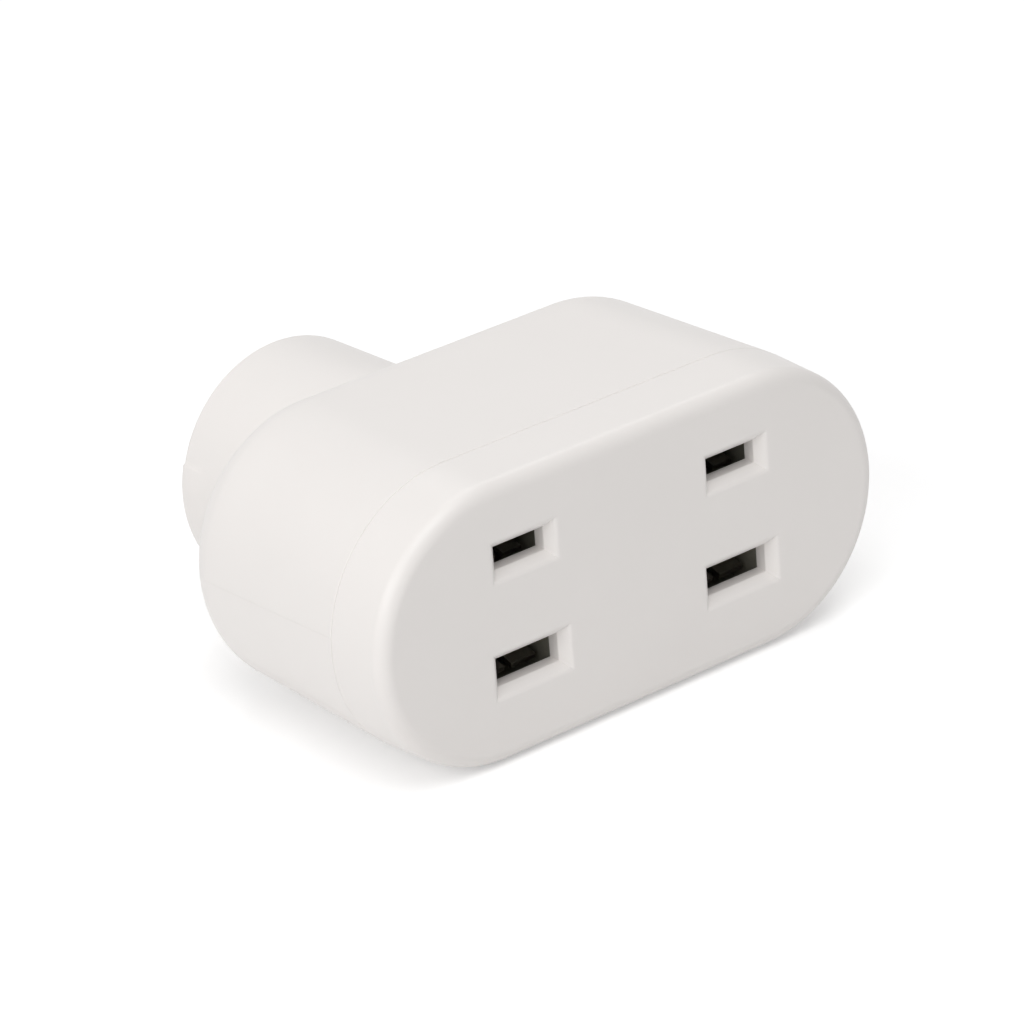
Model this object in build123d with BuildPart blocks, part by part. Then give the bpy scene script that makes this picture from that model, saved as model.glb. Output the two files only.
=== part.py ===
"""Two-way trailing socket for flat-blade plugs, piece by piece, in millimetres.

X runs along the face, Y from the face to the rear and Z up. The origin lies on the
floor under the middle of the socket. Depths are counted from the face, and rises
from mid-height.
"""

import os
from math import hypot, radians, tan

from build123d import *

os.makedirs("parts", exist_ok=True)

# Housing
seam_length = 68.4
rear_length = 65.9
body_height = 32.0
housing_depth = 35.4
wall = 2.4
rear_edge_radius = 5.2
hollow_bevel = 2.0
seam_bevel = 0.15

# Front cap
cap_depth = 7.7
cap_taper = 0.4
face_wall = 2.5
face_edge_radius = 3.4
mouth_lip = 1.1
spigot_clearance = 0.1
spigot_length = 3.0
spigot_end_gap = 0.2

# Blade slots
outlet_offset = 14.4
blade_spacing = 12.7
slot_centre_rise = 0.7
live_slot_length = 6.6
live_slot_height = 2.6
neutral_slot_length = 8.2
neutral_slot_height = 3.2
slot_bevel_width = 1.15
slot_bevel_depth = 0.85
slot_edge_radius = 0.3

# Cable boss
boss_length = 15.4
boss_offset = -7.5
boss_radius = 14.4
boss_draft = 1.0
boss_wall = 2.4
boss_end_wall = 3.0
boss_end_bevel = 0.5
boss_step = 0.15
boss_step_rise = 4.0

# Screws that hold the cap on the body
column_offset = 25.5
column_radius = 3.9
column_front_depth = 14.0
column_floor = 2.0
column_web = 1.6
post_radius = 3.2
post_end_gap = 0.1
post_web = 1.4
post_bore_depth = 10.0
screw_radius = 1.45
screw_fit = 0.1
screw_passage = 0.25
screw_head_radius = 2.75
screw_head_height = 2.0
screw_head_clearance = 0.35
cover_screw_length = 11.0
recess_width = 0.8
recess_span = 3.4
recess_depth = 1.1

# Contact carrier
carrier_length = 42.0
carrier_clearance = 0.3
carrier_corner = 4.0
carrier_rear_web = 3.0
chamber_length = 9.4
chamber_height = 8.4
core_length = 14.0
core_height = 21.6
core_corner = 1.5
carrier_column_radius = 3.0
partition_thickness = 1.5
partition_start = -3.0
partition_end = 20.0
partition_height = 11.0
rib_offset = 16.0
rib_thickness = 1.6
rib_grip = 1.9

# Bus bars
bar_length = 40.0
bar_height = 7.0
bar_thickness = 1.2
bar_corner = 1.5
bar_screw_offset = -1.5
bar_screw_length = 7.0
bar_screw_bore_depth = 8.0

# Sprung clips and their rivets
clip_thickness = 0.6
live_clip_width = 5.8
neutral_clip_width = 7.4
clip_base_height = 5.6
clip_mouth_height = 4.6
clip_throat_height = 2.1
clip_throat_depth = 8.5
clip_mouth_depth = 4.6
clip_bend_radius = 0.9
clip_slit_width = 0.9
clip_slit_end_depth = 15.5
rivet_radius = 1.2
rivet_head_radius = 1.7
rivet_head_height = 0.8
rivet_fit = 0.1

# Wire terminals
terminal_offset = 6.6
terminal_length = 7.4
terminal_height = 6.6
terminal_depth = 8.4
terminal_edge = 0.4
stake_radius = 1.5
stake_fit = 0.1
stake_head_radius = 2.1
stake_head_height = 0.8
stake_head_gap = 0.3
wire_bore_radius = 1.7
wire_bore_depth = 3.8
terminal_screw_radius = 1.75
terminal_screw_length = 4.4
terminal_head_radius = 2.8
terminal_head_height = 2.2
terminal_head_gap = 1.2

# Cord clamp and inlet bush
cord_radius = 4.1
cradle_setback = 6.6
cradle_rib = 2.4
cradle_rib_rise = -1.0
pillar_offset = 7.0
pillar_radius = 3.4
pillar_rise = 0.6
clamp_gap = 0.2
clamp_length = 19.6
clamp_height = 5.0
clamp_width = 6.0
clamp_corner = 2.0
clamp_seat_rise = -7.5
clamp_screw_length = 12.8
bush_waist_radius = 5.5
bush_flange_radius = 7.3
bush_flange = 1.1
bush_fit = 0.1

# Sizes that follow
overall_depth = housing_depth + boss_length
mid_height = body_height / 2
spigot_inset = mouth_lip + spigot_clearance
live_rise = slot_centre_rise + blade_spacing / 2
neutral_rise = slot_centre_rise - blade_spacing / 2
column_seat_depth = column_front_depth + column_floor
post_end_depth = column_front_depth - post_end_gap
carrier_height = body_height - 2 * wall - 2 * carrier_clearance
terminal_rear_depth = housing_depth - wall - terminal_head_gap - terminal_head_height
bar_rear_depth = terminal_rear_depth - terminal_depth
carrier_rear_depth = bar_rear_depth - bar_thickness
carrier_depth = carrier_rear_depth - face_wall
cradle_depth = housing_depth + cradle_setback
boss_bore_radius = boss_radius - boss_wall
boss_root_depth = housing_depth - rear_edge_radius
end_wall_depth = overall_depth - boss_end_wall
rib_end_depth = housing_depth - wall / 2


def depth_to_y(depth):
    """Y of a point that lies at a depth behind the face."""
    return depth - overall_depth / 2


def at_depth(depth):
    """Forward-facing plane behind the face, with its centre at mid-height."""
    return Plane(origin=(0, depth_to_y(depth), mid_height), x_dir=(1, 0, 0), z_dir=(0, -1, 0))


def finish(builder, name):
    """Label a finished piece and write its file."""
    builder.part.label = name
    export_step(builder.part, f"parts/{name}.step")


# Front cap: tapered oblong with a rounded face edge, open to the rear
with BuildPart() as front_cap:
    with BuildSketch(at_depth(0)):
        SlotOverall(seam_length - 2 * cap_taper, body_height - 2 * cap_taper)
    with BuildSketch(at_depth(cap_depth)):
        SlotOverall(seam_length, body_height)
    loft()
    fillet(front_cap.faces().sort_by(Axis.Y)[0].edges(), face_edge_radius)
    chamfer(front_cap.faces().sort_by(Axis.Y)[-1].edges(), seam_bevel)

    # Spigot that enters the mouth of the body, then the hollow inside
    with BuildSketch(at_depth(cap_depth)):
        SlotOverall(seam_length - 2 * spigot_inset, body_height - 2 * spigot_inset)
    extrude(amount=-spigot_length)
    with BuildSketch(at_depth(face_wall)):
        SlotOverall(seam_length - 2 * wall, body_height - 2 * wall)
    extrude(amount=face_wall - cap_depth - spigot_length, mode=Mode.SUBTRACT)

    # Screw posts, each tied to the end wall by a web
    with BuildSketch(at_depth(face_wall)):
        with GridLocations(2 * column_offset, 0, 2, 1):
            Circle(post_radius)
    extrude(amount=face_wall - post_end_depth)
    with BuildSketch(at_depth(face_wall)):
        Rectangle(seam_length - 2 * wall, post_web)
        Rectangle(2 * column_offset, post_web, mode=Mode.SUBTRACT)
    extrude(amount=face_wall - cap_depth)
    with BuildSketch(at_depth(post_end_depth)):
        with GridLocations(2 * column_offset, 0, 2, 1):
            Circle(screw_radius + screw_fit)
    extrude(amount=post_bore_depth, mode=Mode.SUBTRACT)

    # Blade slots: a sloped lead-in all round, then a straight window
    for slot_length, slot_height, slot_rise in (
        (live_slot_length, live_slot_height, live_rise),
        (neutral_slot_length, neutral_slot_height, neutral_rise),
    ):
        for outlet_x in (-outlet_offset, outlet_offset):
            with BuildSketch(at_depth(0)):
                with Locations((outlet_x, slot_rise)):
                    Rectangle(slot_length + 2 * slot_bevel_width, slot_height + 2 * slot_bevel_width)
            with BuildSketch(at_depth(slot_bevel_depth)):
                with Locations((outlet_x, slot_rise)):
                    Rectangle(slot_length, slot_height)
            loft(mode=Mode.SUBTRACT)
            with BuildSketch(at_depth(slot_bevel_depth)):
                with Locations((outlet_x, slot_rise)):
                    Rectangle(slot_length, slot_height)
            extrude(amount=slot_bevel_depth - face_wall, mode=Mode.SUBTRACT)
    slot_rims = front_cap.faces().sort_by(Axis.Y)[0].inner_wires()
    fillet([edge for rim in slot_rims for edge in rim.edges()], slot_edge_radius)
finish(front_cap, "front_cap")


def boss_part(radius, keep):
    """Drafted round boss with a bevelled end edge, kept above or below its moulded step."""
    end_radius = radius - (overall_depth - boss_root_depth) * tan(radians(boss_draft))
    with BuildPart() as boss:
        with BuildSketch(Plane.XY.offset(mid_height)) as profile:
            with BuildLine():
                Polyline(
                    (boss_offset, depth_to_y(boss_root_depth)),
                    (boss_offset + radius, depth_to_y(boss_root_depth)),
                    (boss_offset + end_radius, depth_to_y(overall_depth)),
                    (boss_offset, depth_to_y(overall_depth)),
                    close=True,
                )
            make_face()
            end_corner = profile.vertices().group_by(Axis.Y)[-1].sort_by(Axis.X)[-1]
            chamfer(end_corner, boss_end_bevel)
        revolve(axis=Axis((boss_offset, 0, mid_height), (0, 1, 0)))
        split(bisect_by=Plane.XY.offset(mid_height + boss_step_rise), keep=keep)
    return boss.part


boss_above_step = boss_part(boss_radius, Keep.TOP)
boss_below_step = boss_part(boss_radius + boss_step, Keep.BOTTOM)


def tapered_oblong(rear_depth, inset):
    """Full-round oblong behind the cap; its halves lean inward to the rear, so its flats stay true."""
    run = rear_depth - cap_depth
    lean = run * (seam_length - rear_length) / 2 / (housing_depth - cap_depth)
    overlap = (seam_length - body_height) / 8
    with BuildPart() as oblong:
        for side, inner_edge in ((-1, Align.MAX), (1, Align.MIN)):
            with BuildSketch(at_depth(cap_depth)):
                SlotOverall(seam_length - 2 * inset, body_height - 2 * inset)
                with Locations((-side * overlap, 0)):
                    Rectangle(
                        seam_length,
                        body_height,
                        align=(inner_edge, Align.CENTER),
                        mode=Mode.INTERSECT,
                    )
            extrude(amount=hypot(run, lean), dir=(-side * lean, run, 0))
    return oblong.part


# Hollow of the housing, bevelled at the rear where the outside is rounded
with BuildPart() as hollow:
    add(tapered_oblong(housing_depth - wall, wall))
    chamfer(hollow.faces().sort_by(Axis.Y)[-1].edges(), hollow_bevel)

# Cord cradle: two pillars on the floor of the boss with a grooved rib between them
with BuildPart() as cradle:
    with BuildSketch(Plane.XY.offset(mid_height + pillar_rise)):
        with Locations((boss_offset, depth_to_y(cradle_depth))):
            with GridLocations(2 * pillar_offset, 0, 2, 1):
                Circle(pillar_radius)
    extrude(amount=-boss_radius)
    with BuildSketch(at_depth(cradle_depth)):
        with Locations((boss_offset, cradle_rib_rise)):
            Rectangle(2 * pillar_offset, boss_radius, align=(Align.CENTER, Align.MAX))
    extrude(amount=cradle_rib / 2, both=True)
    with BuildSketch(at_depth(cradle_depth)):
        with Locations((boss_offset, 0)):
            Circle(cord_radius)
    extrude(amount=pillar_radius, both=True, mode=Mode.SUBTRACT)
    with BuildSketch(at_depth(cradle_depth)):
        with Locations((boss_offset, 0)):
            Circle(boss_bore_radius + boss_wall / 4)
    extrude(amount=pillar_radius, both=True, mode=Mode.INTERSECT)

# Rear body: tapered oblong shell and cable boss in one moulding
with BuildPart() as rear_body:
    add(tapered_oblong(housing_depth, 0))
    fillet(rear_body.faces().sort_by(Axis.Y)[-1].edges(), rear_edge_radius)
    chamfer(rear_body.faces().sort_by(Axis.Y)[0].edges(), seam_bevel)
    add(boss_above_step)
    add(boss_below_step)
    add(hollow.part, mode=Mode.SUBTRACT)
    with BuildSketch(at_depth(cap_depth)):
        SlotOverall(seam_length - 2 * mouth_lip, body_height - 2 * mouth_lip)
    extrude(amount=-spigot_length - spigot_end_gap, mode=Mode.SUBTRACT)

    # Bore of the boss and the stepped seat of the bush in its end wall
    with BuildSketch(at_depth(end_wall_depth)):
        with Locations((boss_offset, 0)):
            Circle(boss_bore_radius)
    extrude(amount=end_wall_depth - housing_depth + wall + boss_wall, mode=Mode.SUBTRACT)
    with BuildSketch(at_depth(overall_depth)):
        with Locations((boss_offset, 0)):
            Circle(bush_waist_radius + bush_fit)
    extrude(amount=boss_end_wall, mode=Mode.SUBTRACT)
    with BuildSketch(at_depth(overall_depth)):
        with Locations((boss_offset, 0)):
            Circle(bush_flange_radius + bush_fit)
    extrude(amount=bush_flange + bush_fit, mode=Mode.SUBTRACT)

    # Screw columns, each tied to the end wall by a web
    with BuildSketch(at_depth(column_front_depth)):
        with GridLocations(2 * column_offset, 0, 2, 1):
            Circle(column_radius)
    extrude(amount=column_front_depth - rib_end_depth)
    with BuildSketch(at_depth(column_front_depth)):
        Rectangle(rear_length - wall, column_web)
        Rectangle(2 * column_offset, column_web, mode=Mode.SUBTRACT)
    extrude(amount=column_front_depth - boss_root_depth)
    with BuildSketch(at_depth(housing_depth)):
        with GridLocations(2 * column_offset, 0, 2, 1):
            Circle(screw_head_radius + screw_head_clearance)
    extrude(amount=housing_depth - column_seat_depth, mode=Mode.SUBTRACT)
    with BuildSketch(at_depth(column_seat_depth)):
        with GridLocations(2 * column_offset, 0, 2, 1):
            Circle(screw_radius + screw_passage)
    extrude(amount=column_floor, mode=Mode.SUBTRACT)

    # Ribs above and below that hold the contact carrier against the cap
    with BuildSketch(at_depth(carrier_rear_depth)):
        with GridLocations(2 * rib_offset, body_height - 2 * wall - rib_grip, 2, 2):
            Rectangle(rib_thickness, rib_grip + wall / 4)
    extrude(amount=carrier_rear_depth - rib_end_depth)

    # Cord cradle and the screw passages that rise through it from below
    add(cradle.part)
    with BuildSketch(Plane.XY.offset(mid_height + pillar_rise)):
        with Locations((boss_offset, depth_to_y(cradle_depth))):
            with GridLocations(2 * pillar_offset, 0, 2, 1):
                Circle(screw_radius + screw_passage)
    extrude(amount=clamp_seat_rise - pillar_rise, mode=Mode.SUBTRACT)
    with BuildSketch(Plane.XY.offset(mid_height + clamp_seat_rise)):
        with Locations((boss_offset, depth_to_y(cradle_depth))):
            with GridLocations(2 * pillar_offset, 0, 2, 1):
                Circle(screw_head_radius + screw_head_clearance)
    extrude(amount=-boss_radius, mode=Mode.SUBTRACT)
finish(rear_body, "rear_body")

# Inlet bush: two flanges that clasp the end wall, with the cord bore through both
with BuildPart() as cable_bush:
    with BuildSketch(at_depth(overall_depth - bush_fit)):
        with Locations((boss_offset, 0)):
            Circle(bush_flange_radius)
    extrude(amount=bush_flange - bush_fit)
    with BuildSketch(at_depth(end_wall_depth - bush_flange)):
        with Locations((boss_offset, 0)):
            Circle(bush_flange_radius)
    extrude(amount=-(bush_flange - bush_fit))
    with BuildSketch(at_depth(end_wall_depth - bush_flange)):
        with Locations((boss_offset, 0)):
            Circle(bush_waist_radius)
    extrude(amount=-(boss_end_wall + bush_flange - bush_fit))
    with BuildSketch(at_depth(overall_depth)):
        with Locations((boss_offset, 0)):
            Circle(cord_radius)
    extrude(amount=boss_end_wall + bush_flange, mode=Mode.SUBTRACT)
finish(cable_bush, "cable_bush")

# Contact carrier: a chamber behind each slot, cored out between the outlets
with BuildPart() as contact_carrier:
    with BuildSketch(at_depth(face_wall)):
        RectangleRounded(carrier_length, carrier_height, carrier_corner)
    extrude(amount=-carrier_depth)
    with BuildSketch(at_depth(face_wall)):
        with Locations((-outlet_offset, live_rise), (outlet_offset, live_rise)):
            Rectangle(chamber_length, chamber_height)
        with Locations((-outlet_offset, neutral_rise), (outlet_offset, neutral_rise)):
            Rectangle(chamber_length, chamber_height)
    extrude(amount=-carrier_depth, mode=Mode.SUBTRACT)
    with BuildSketch(at_depth(face_wall)):
        RectangleRounded(core_length, core_height, core_corner)
        with Locations((bar_screw_offset, live_rise), (bar_screw_offset, neutral_rise)):
            Circle(carrier_column_radius, mode=Mode.SUBTRACT)
    extrude(amount=carrier_rear_web - carrier_depth, mode=Mode.SUBTRACT)

    # Partition between the poles, behind the bars
    with BuildSketch(at_depth(carrier_rear_depth)):
        with Locations((partition_start, slot_centre_rise)):
            Rectangle(
                partition_end - partition_start,
                partition_thickness,
                align=(Align.MIN, Align.CENTER),
            )
    extrude(amount=-partition_height)

    # Bores for the bar screws and pockets for the staked ends of the terminals
    with BuildSketch(at_depth(carrier_rear_depth)):
        with Locations((bar_screw_offset, live_rise), (bar_screw_offset, neutral_rise)):
            Circle(screw_radius + screw_fit)
    extrude(amount=bar_screw_bore_depth, mode=Mode.SUBTRACT)
    with BuildSketch(at_depth(carrier_rear_depth)):
        with Locations((terminal_offset, live_rise), (terminal_offset, neutral_rise)):
            Circle(stake_head_radius + stake_head_gap)
    extrude(amount=stake_head_height + stake_head_gap, mode=Mode.SUBTRACT)
finish(contact_carrier, "contact_carrier")


def bus_bar(rise):
    """Flat bar with round corners, pierced for its rivets, screw and terminal."""
    with BuildPart() as bar:
        with BuildSketch(at_depth(carrier_rear_depth)):
            with Locations((0, rise)):
                RectangleRounded(bar_length, bar_height, bar_corner)
            with Locations((-outlet_offset, rise), (outlet_offset, rise)):
                Circle(rivet_radius + rivet_fit, mode=Mode.SUBTRACT)
            with Locations((bar_screw_offset, rise)):
                Circle(screw_radius + screw_passage, mode=Mode.SUBTRACT)
            with Locations((terminal_offset, rise)):
                Circle(stake_radius + stake_fit, mode=Mode.SUBTRACT)
        extrude(amount=-bar_thickness)
    return bar


def blade_clip(x, rise, width):
    """Folded spring strip: a base on the bar and two leaves that pinch, then flare."""
    base_y = depth_to_y(carrier_rear_depth)
    throat_y = depth_to_y(clip_throat_depth)
    mouth_y = depth_to_y(clip_mouth_depth)
    centre_z = mid_height + rise
    with BuildPart() as clip:
        with BuildSketch(Plane.YZ.offset(x)):
            with BuildLine():
                outside = FilletPolyline(
                    (mouth_y, centre_z + clip_mouth_height / 2),
                    (throat_y, centre_z + clip_throat_height / 2),
                    (base_y, centre_z + clip_base_height / 2),
                    (base_y, centre_z - clip_base_height / 2),
                    (throat_y, centre_z - clip_throat_height / 2),
                    (mouth_y, centre_z - clip_mouth_height / 2),
                    radius=clip_bend_radius,
                )
                offset(outside, amount=clip_thickness, side=Side.RIGHT)
            make_face()
        extrude(amount=width / 2, both=True)
        with BuildSketch(Plane.XY.offset(centre_z)):
            with Locations((x, mouth_y)):
                Rectangle(clip_slit_width, 2 * (clip_slit_end_depth - clip_mouth_depth))
        extrude(amount=clip_mouth_height, both=True, mode=Mode.SUBTRACT)
        with BuildSketch(at_depth(carrier_rear_depth)):
            with Locations((x, rise)):
                Circle(rivet_radius + rivet_fit)
        extrude(amount=2 * clip_thickness, mode=Mode.SUBTRACT)
    return clip


def clip_rivets(rise):
    """Two headed rivets that hold both clips of one pole on their bar."""
    with BuildPart() as rivets:
        with BuildSketch(at_depth(carrier_rear_depth - clip_thickness)):
            with Locations((-outlet_offset, rise), (outlet_offset, rise)):
                Circle(rivet_radius)
        extrude(amount=-(clip_thickness + bar_thickness))
        with BuildSketch(at_depth(carrier_rear_depth - clip_thickness)):
            with Locations((-outlet_offset, rise), (outlet_offset, rise)):
                Circle(rivet_head_radius)
        extrude(amount=rivet_head_height)
        with BuildSketch(at_depth(bar_rear_depth)):
            with Locations((-outlet_offset, rise), (outlet_offset, rise)):
                Circle(rivet_head_radius)
        extrude(amount=-rivet_head_height)
    return rivets


def terminal(rise):
    """Bevelled block with a wire bore and a screw bore, staked through the bar."""
    with BuildPart() as block:
        with BuildSketch(at_depth(bar_rear_depth)):
            with Locations((terminal_offset, rise)):
                Rectangle(terminal_length, terminal_height)
        extrude(amount=-terminal_depth)
        chamfer(block.faces().sort_by(Axis.Y)[-1].edges(), terminal_edge)
        with BuildSketch(at_depth(bar_rear_depth)):
            with Locations((terminal_offset, rise)):
                Circle(stake_radius)
        extrude(amount=bar_thickness)
        with BuildSketch(at_depth(carrier_rear_depth)):
            with Locations((terminal_offset, rise)):
                Circle(stake_head_radius)
        extrude(amount=stake_head_height)
        with BuildSketch(Plane.YZ.offset(terminal_offset)):
            with Locations((depth_to_y(bar_rear_depth + wire_bore_depth), mid_height + rise)):
                Circle(wire_bore_radius)
        extrude(amount=terminal_length, both=True, mode=Mode.SUBTRACT)
        with BuildSketch(at_depth(terminal_rear_depth)):
            with Locations((terminal_offset, rise)):
                Circle(terminal_screw_radius + screw_fit)
        extrude(amount=terminal_depth - wire_bore_depth, mode=Mode.SUBTRACT)
    return block


def slotted_screw(rise):
    """Cheese-head screw of a terminal, with a straight slot."""
    with BuildPart() as screw:
        with BuildSketch(at_depth(terminal_rear_depth)):
            with Locations((terminal_offset, rise)):
                Circle(terminal_screw_radius)
        extrude(amount=terminal_screw_length)
        with BuildSketch(at_depth(terminal_rear_depth)):
            with Locations((terminal_offset, rise)):
                Circle(terminal_head_radius)
        extrude(amount=-terminal_head_height)
        with BuildSketch(at_depth(terminal_rear_depth + terminal_head_height)):
            with Locations((terminal_offset, rise)):
                Rectangle(2 * terminal_head_radius, recess_width)
        extrude(amount=recess_depth, mode=Mode.SUBTRACT)
    return screw


def cross_screws(head_planes, length):
    """Screws with a crossed recess: each plane lies under a head and faces the shank's tip."""
    with BuildPart() as screws:
        with BuildSketch(*head_planes):
            Circle(screw_radius)
        extrude(amount=length)
        with BuildSketch(*head_planes):
            Circle(screw_head_radius)
        extrude(amount=-screw_head_height)
        with BuildSketch(*[plane.offset(-screw_head_height) for plane in head_planes]):
            Rectangle(recess_span, recess_width)
            Rectangle(recess_width, recess_span)
        extrude(amount=recess_depth, mode=Mode.SUBTRACT)
    return screws


# Both poles: bar, rivets, terminal and its screw, and a clip behind each slot
for pole, pole_rise, clip_width in (
    ("live", live_rise, live_clip_width),
    ("neutral", neutral_rise, neutral_clip_width),
):
    finish(bus_bar(pole_rise), f"{pole}_bus_bar")
    finish(clip_rivets(pole_rise), f"{pole}_clip_rivets")
    finish(terminal(pole_rise), f"{pole}_terminal")
    finish(slotted_screw(pole_rise), f"{pole}_terminal_screw")
    finish(blade_clip(-outlet_offset, pole_rise, clip_width), f"{pole}_clip_left")
    finish(blade_clip(outlet_offset, pole_rise, clip_width), f"{pole}_clip_right")

# Screws of the bars, of the cap and of the cord clamp
bar_screws = cross_screws(
    [at_depth(bar_rear_depth).shift_origin(
        (bar_screw_offset, depth_to_y(bar_rear_depth), mid_height + rise))
     for rise in (live_rise, neutral_rise)],
    bar_screw_length,
)
finish(bar_screws, "bus_bar_screws")
cover_screws = cross_screws(
    [at_depth(column_seat_depth).shift_origin(
        (x, depth_to_y(column_seat_depth), mid_height))
     for x in (-column_offset, column_offset)],
    cover_screw_length,
)
finish(cover_screws, "cover_screws")
clamp_screws = cross_screws(
    [Plane.XY.offset(mid_height + clamp_seat_rise).shift_origin(
        (x, depth_to_y(cradle_depth), mid_height + clamp_seat_rise))
     for x in (boss_offset - pillar_offset, boss_offset + pillar_offset)],
    clamp_screw_length,
)
finish(clamp_screws, "cord_clamp_screws")

# Clamp bar: grooved over the cord, tapped at both ends
with BuildPart() as cord_clamp_bar:
    with BuildSketch(Plane.XY.offset(mid_height + pillar_rise + clamp_gap)):
        with Locations((boss_offset, depth_to_y(cradle_depth))):
            RectangleRounded(clamp_length, clamp_width, clamp_corner)
            with GridLocations(2 * pillar_offset, 0, 2, 1):
                Circle(screw_radius + screw_fit, mode=Mode.SUBTRACT)
    extrude(amount=clamp_height)
    with BuildSketch(at_depth(cradle_depth)):
        with Locations((boss_offset, 0)):
            Circle(cord_radius)
    extrude(amount=clamp_width, both=True, mode=Mode.SUBTRACT)
finish(cord_clamp_bar, "cord_clamp_bar")
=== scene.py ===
"""Looks of a two-way trailing socket: smooth mouldings, metal behind the slots, a plain studio.

Sizes are in millimetres and become metres where a mesh is made. Depths run rearward from the
face, and rises are counted from the middle of the height.
"""

import logging
from dataclasses import dataclass
from enum import Enum
from math import ceil, cos, radians, sin, tan
from typing import Any, Optional, Sequence

import bmesh
import bpy
import numpy as np
from mathutils import Matrix, Vector


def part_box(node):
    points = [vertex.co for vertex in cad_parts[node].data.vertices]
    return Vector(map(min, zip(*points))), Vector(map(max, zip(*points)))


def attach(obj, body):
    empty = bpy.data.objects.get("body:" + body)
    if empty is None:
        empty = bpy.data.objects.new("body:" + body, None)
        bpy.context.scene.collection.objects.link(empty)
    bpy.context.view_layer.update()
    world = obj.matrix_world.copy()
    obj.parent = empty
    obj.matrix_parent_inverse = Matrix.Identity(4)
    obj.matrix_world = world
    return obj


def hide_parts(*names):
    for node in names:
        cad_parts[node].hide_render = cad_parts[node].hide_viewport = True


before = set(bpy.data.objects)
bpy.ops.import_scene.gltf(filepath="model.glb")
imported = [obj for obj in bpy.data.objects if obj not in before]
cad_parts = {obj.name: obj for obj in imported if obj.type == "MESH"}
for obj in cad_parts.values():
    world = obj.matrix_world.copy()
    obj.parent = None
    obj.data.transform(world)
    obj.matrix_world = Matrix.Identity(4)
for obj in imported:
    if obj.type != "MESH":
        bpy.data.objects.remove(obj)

MM = 0.001
BODY = "root"
MERGE_DISTANCE = 1e-6
SHARP_ANGLE = radians(32)
ROUND_COLUMNS = 128
ARC_STEP = 7.5
FINE_ARC_STEP = 5.0
WHITE = (1.0, 1.0, 1.0, 1.0)

# Numbers of the colour sockets of Blender's Mix node
MIX_SHARE, MIX_FIRST, MIX_SECOND, MIX_RESULT = 0, 6, 7, 2

log = logging.getLogger("trailing_socket")


class Turn(Enum):
    """Axis that a turned shape goes round."""

    REARWARD = "rearward"
    UPWARD = "upward"


class Pole(Enum):
    """Pole of an outlet, with the name that its nodes start with."""

    LIVE = "live"
    NEUTRAL = "neutral"


# Grids and profiles


def grid_quads(rows: int, columns: int, closed: bool) -> np.ndarray:
    """Quads of a grid of points: each joins a point to its neighbour, and both to the next row.

    Args:
        rows: number of rows of points.
        columns: number of points in a row.
        closed: True where the last column joins the first.

    Returns:
        Indices of the four corners, one quad a line.
    """
    row = np.arange(rows - 1)[:, None]
    column = np.arange(columns if closed else columns - 1)[None, :]
    following = (column + 1) % columns
    corners = (
        row * columns + column,
        row * columns + following,
        (row + 1) * columns + following,
        (row + 1) * columns + column,
    )
    return np.stack(corners, axis=-1).reshape(-1, 4)


def rounded_profile(
    corners: Sequence[tuple[float, float, float]], step: float = ARC_STEP
) -> np.ndarray:
    """Line through corners, each turned into an arc that touches both of its straights.

    Args:
        corners: the two coordinates of each corner and its radius.
        step: largest turn between two points of an arc, in degrees.

    Returns:
        Points of the line, in order.
    """
    places = np.array([corner[:2] for corner in corners], float)
    line = [places[:1]]
    for before, here, after, corner in zip(places, places[1:], places[2:], corners[1:]):
        radius = corner[2]
        if radius <= 0:
            line.append(here[None])
            continue
        inward = (before - here) / np.linalg.norm(before - here)
        onward = (after - here) / np.linalg.norm(after - here)
        half = np.arccos(np.clip(inward @ onward, -1, 1)) / 2
        middle = here + (inward + onward) / np.linalg.norm(inward + onward) * radius / np.sin(half)
        start = here + inward * radius / np.tan(half) - middle
        end = here + onward * radius / np.tan(half) - middle
        turn = np.pi - 2 * half
        share = np.linspace(0, 1, ceil(np.degrees(turn) / step) + 1)[:, None]
        arm = (np.sin((1 - share) * turn) * start + np.sin(share * turn) * end) / np.sin(turn)
        line.append(middle + arm)
    line.append(places[-1:])
    return np.concatenate(line)


def subdivided(line: np.ndarray, spacing: float) -> np.ndarray:
    """Line with its long straights cut into equal pieces no longer than the spacing.

    Args:
        line: points of the line.
        spacing: longest piece.

    Returns:
        Points of the finer line.
    """
    lengths = np.linalg.norm(np.diff(line, axis=0), axis=1)
    counts = np.maximum(np.ceil(lengths / spacing), 1).astype(int)
    first = np.repeat(np.arange(len(counts)), counts)
    share = (np.arange(counts.sum()) - np.repeat(np.cumsum(counts) - counts, counts)) / counts[first]
    inner = line[first] + (line[first + 1] - line[first]) * share[:, None]
    return np.concatenate([inner, line[-1:]])


def grid_lines(low: float, high: float, breaks: Sequence[float], spacing: float) -> np.ndarray:
    """Coordinates of grid lines from low to high that pass through every break.

    Args:
        low: first line.
        high: last line.
        breaks: places that need a line of their own.
        spacing: widest cell.

    Returns:
        Sorted coordinates.
    """
    stops = np.array(sorted({round(value, 6) for value in (low, high, *breaks)}))
    return subdivided(stops[:, None], spacing)[:, 0]


def rectangle_loop(xs: np.ndarray, rises: np.ndarray) -> np.ndarray:
    """Points round a rectangle, from its lower left corner along the lower side and back.

    Args:
        xs: coordinates along the lower and upper sides.
        rises: coordinates along the left and right sides.

    Returns:
        One x and rise a line, each point once.
    """
    sides = (
        (xs[:-1], np.full(len(xs) - 1, rises[0])),
        (np.full(len(rises) - 1, xs[-1]), rises[:-1]),
        (xs[:0:-1], np.full(len(xs) - 1, rises[-1])),
        (np.full(len(rises) - 1, xs[0]), rises[:0:-1]),
    )
    return np.concatenate([np.stack(side, axis=-1) for side in sides])


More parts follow.
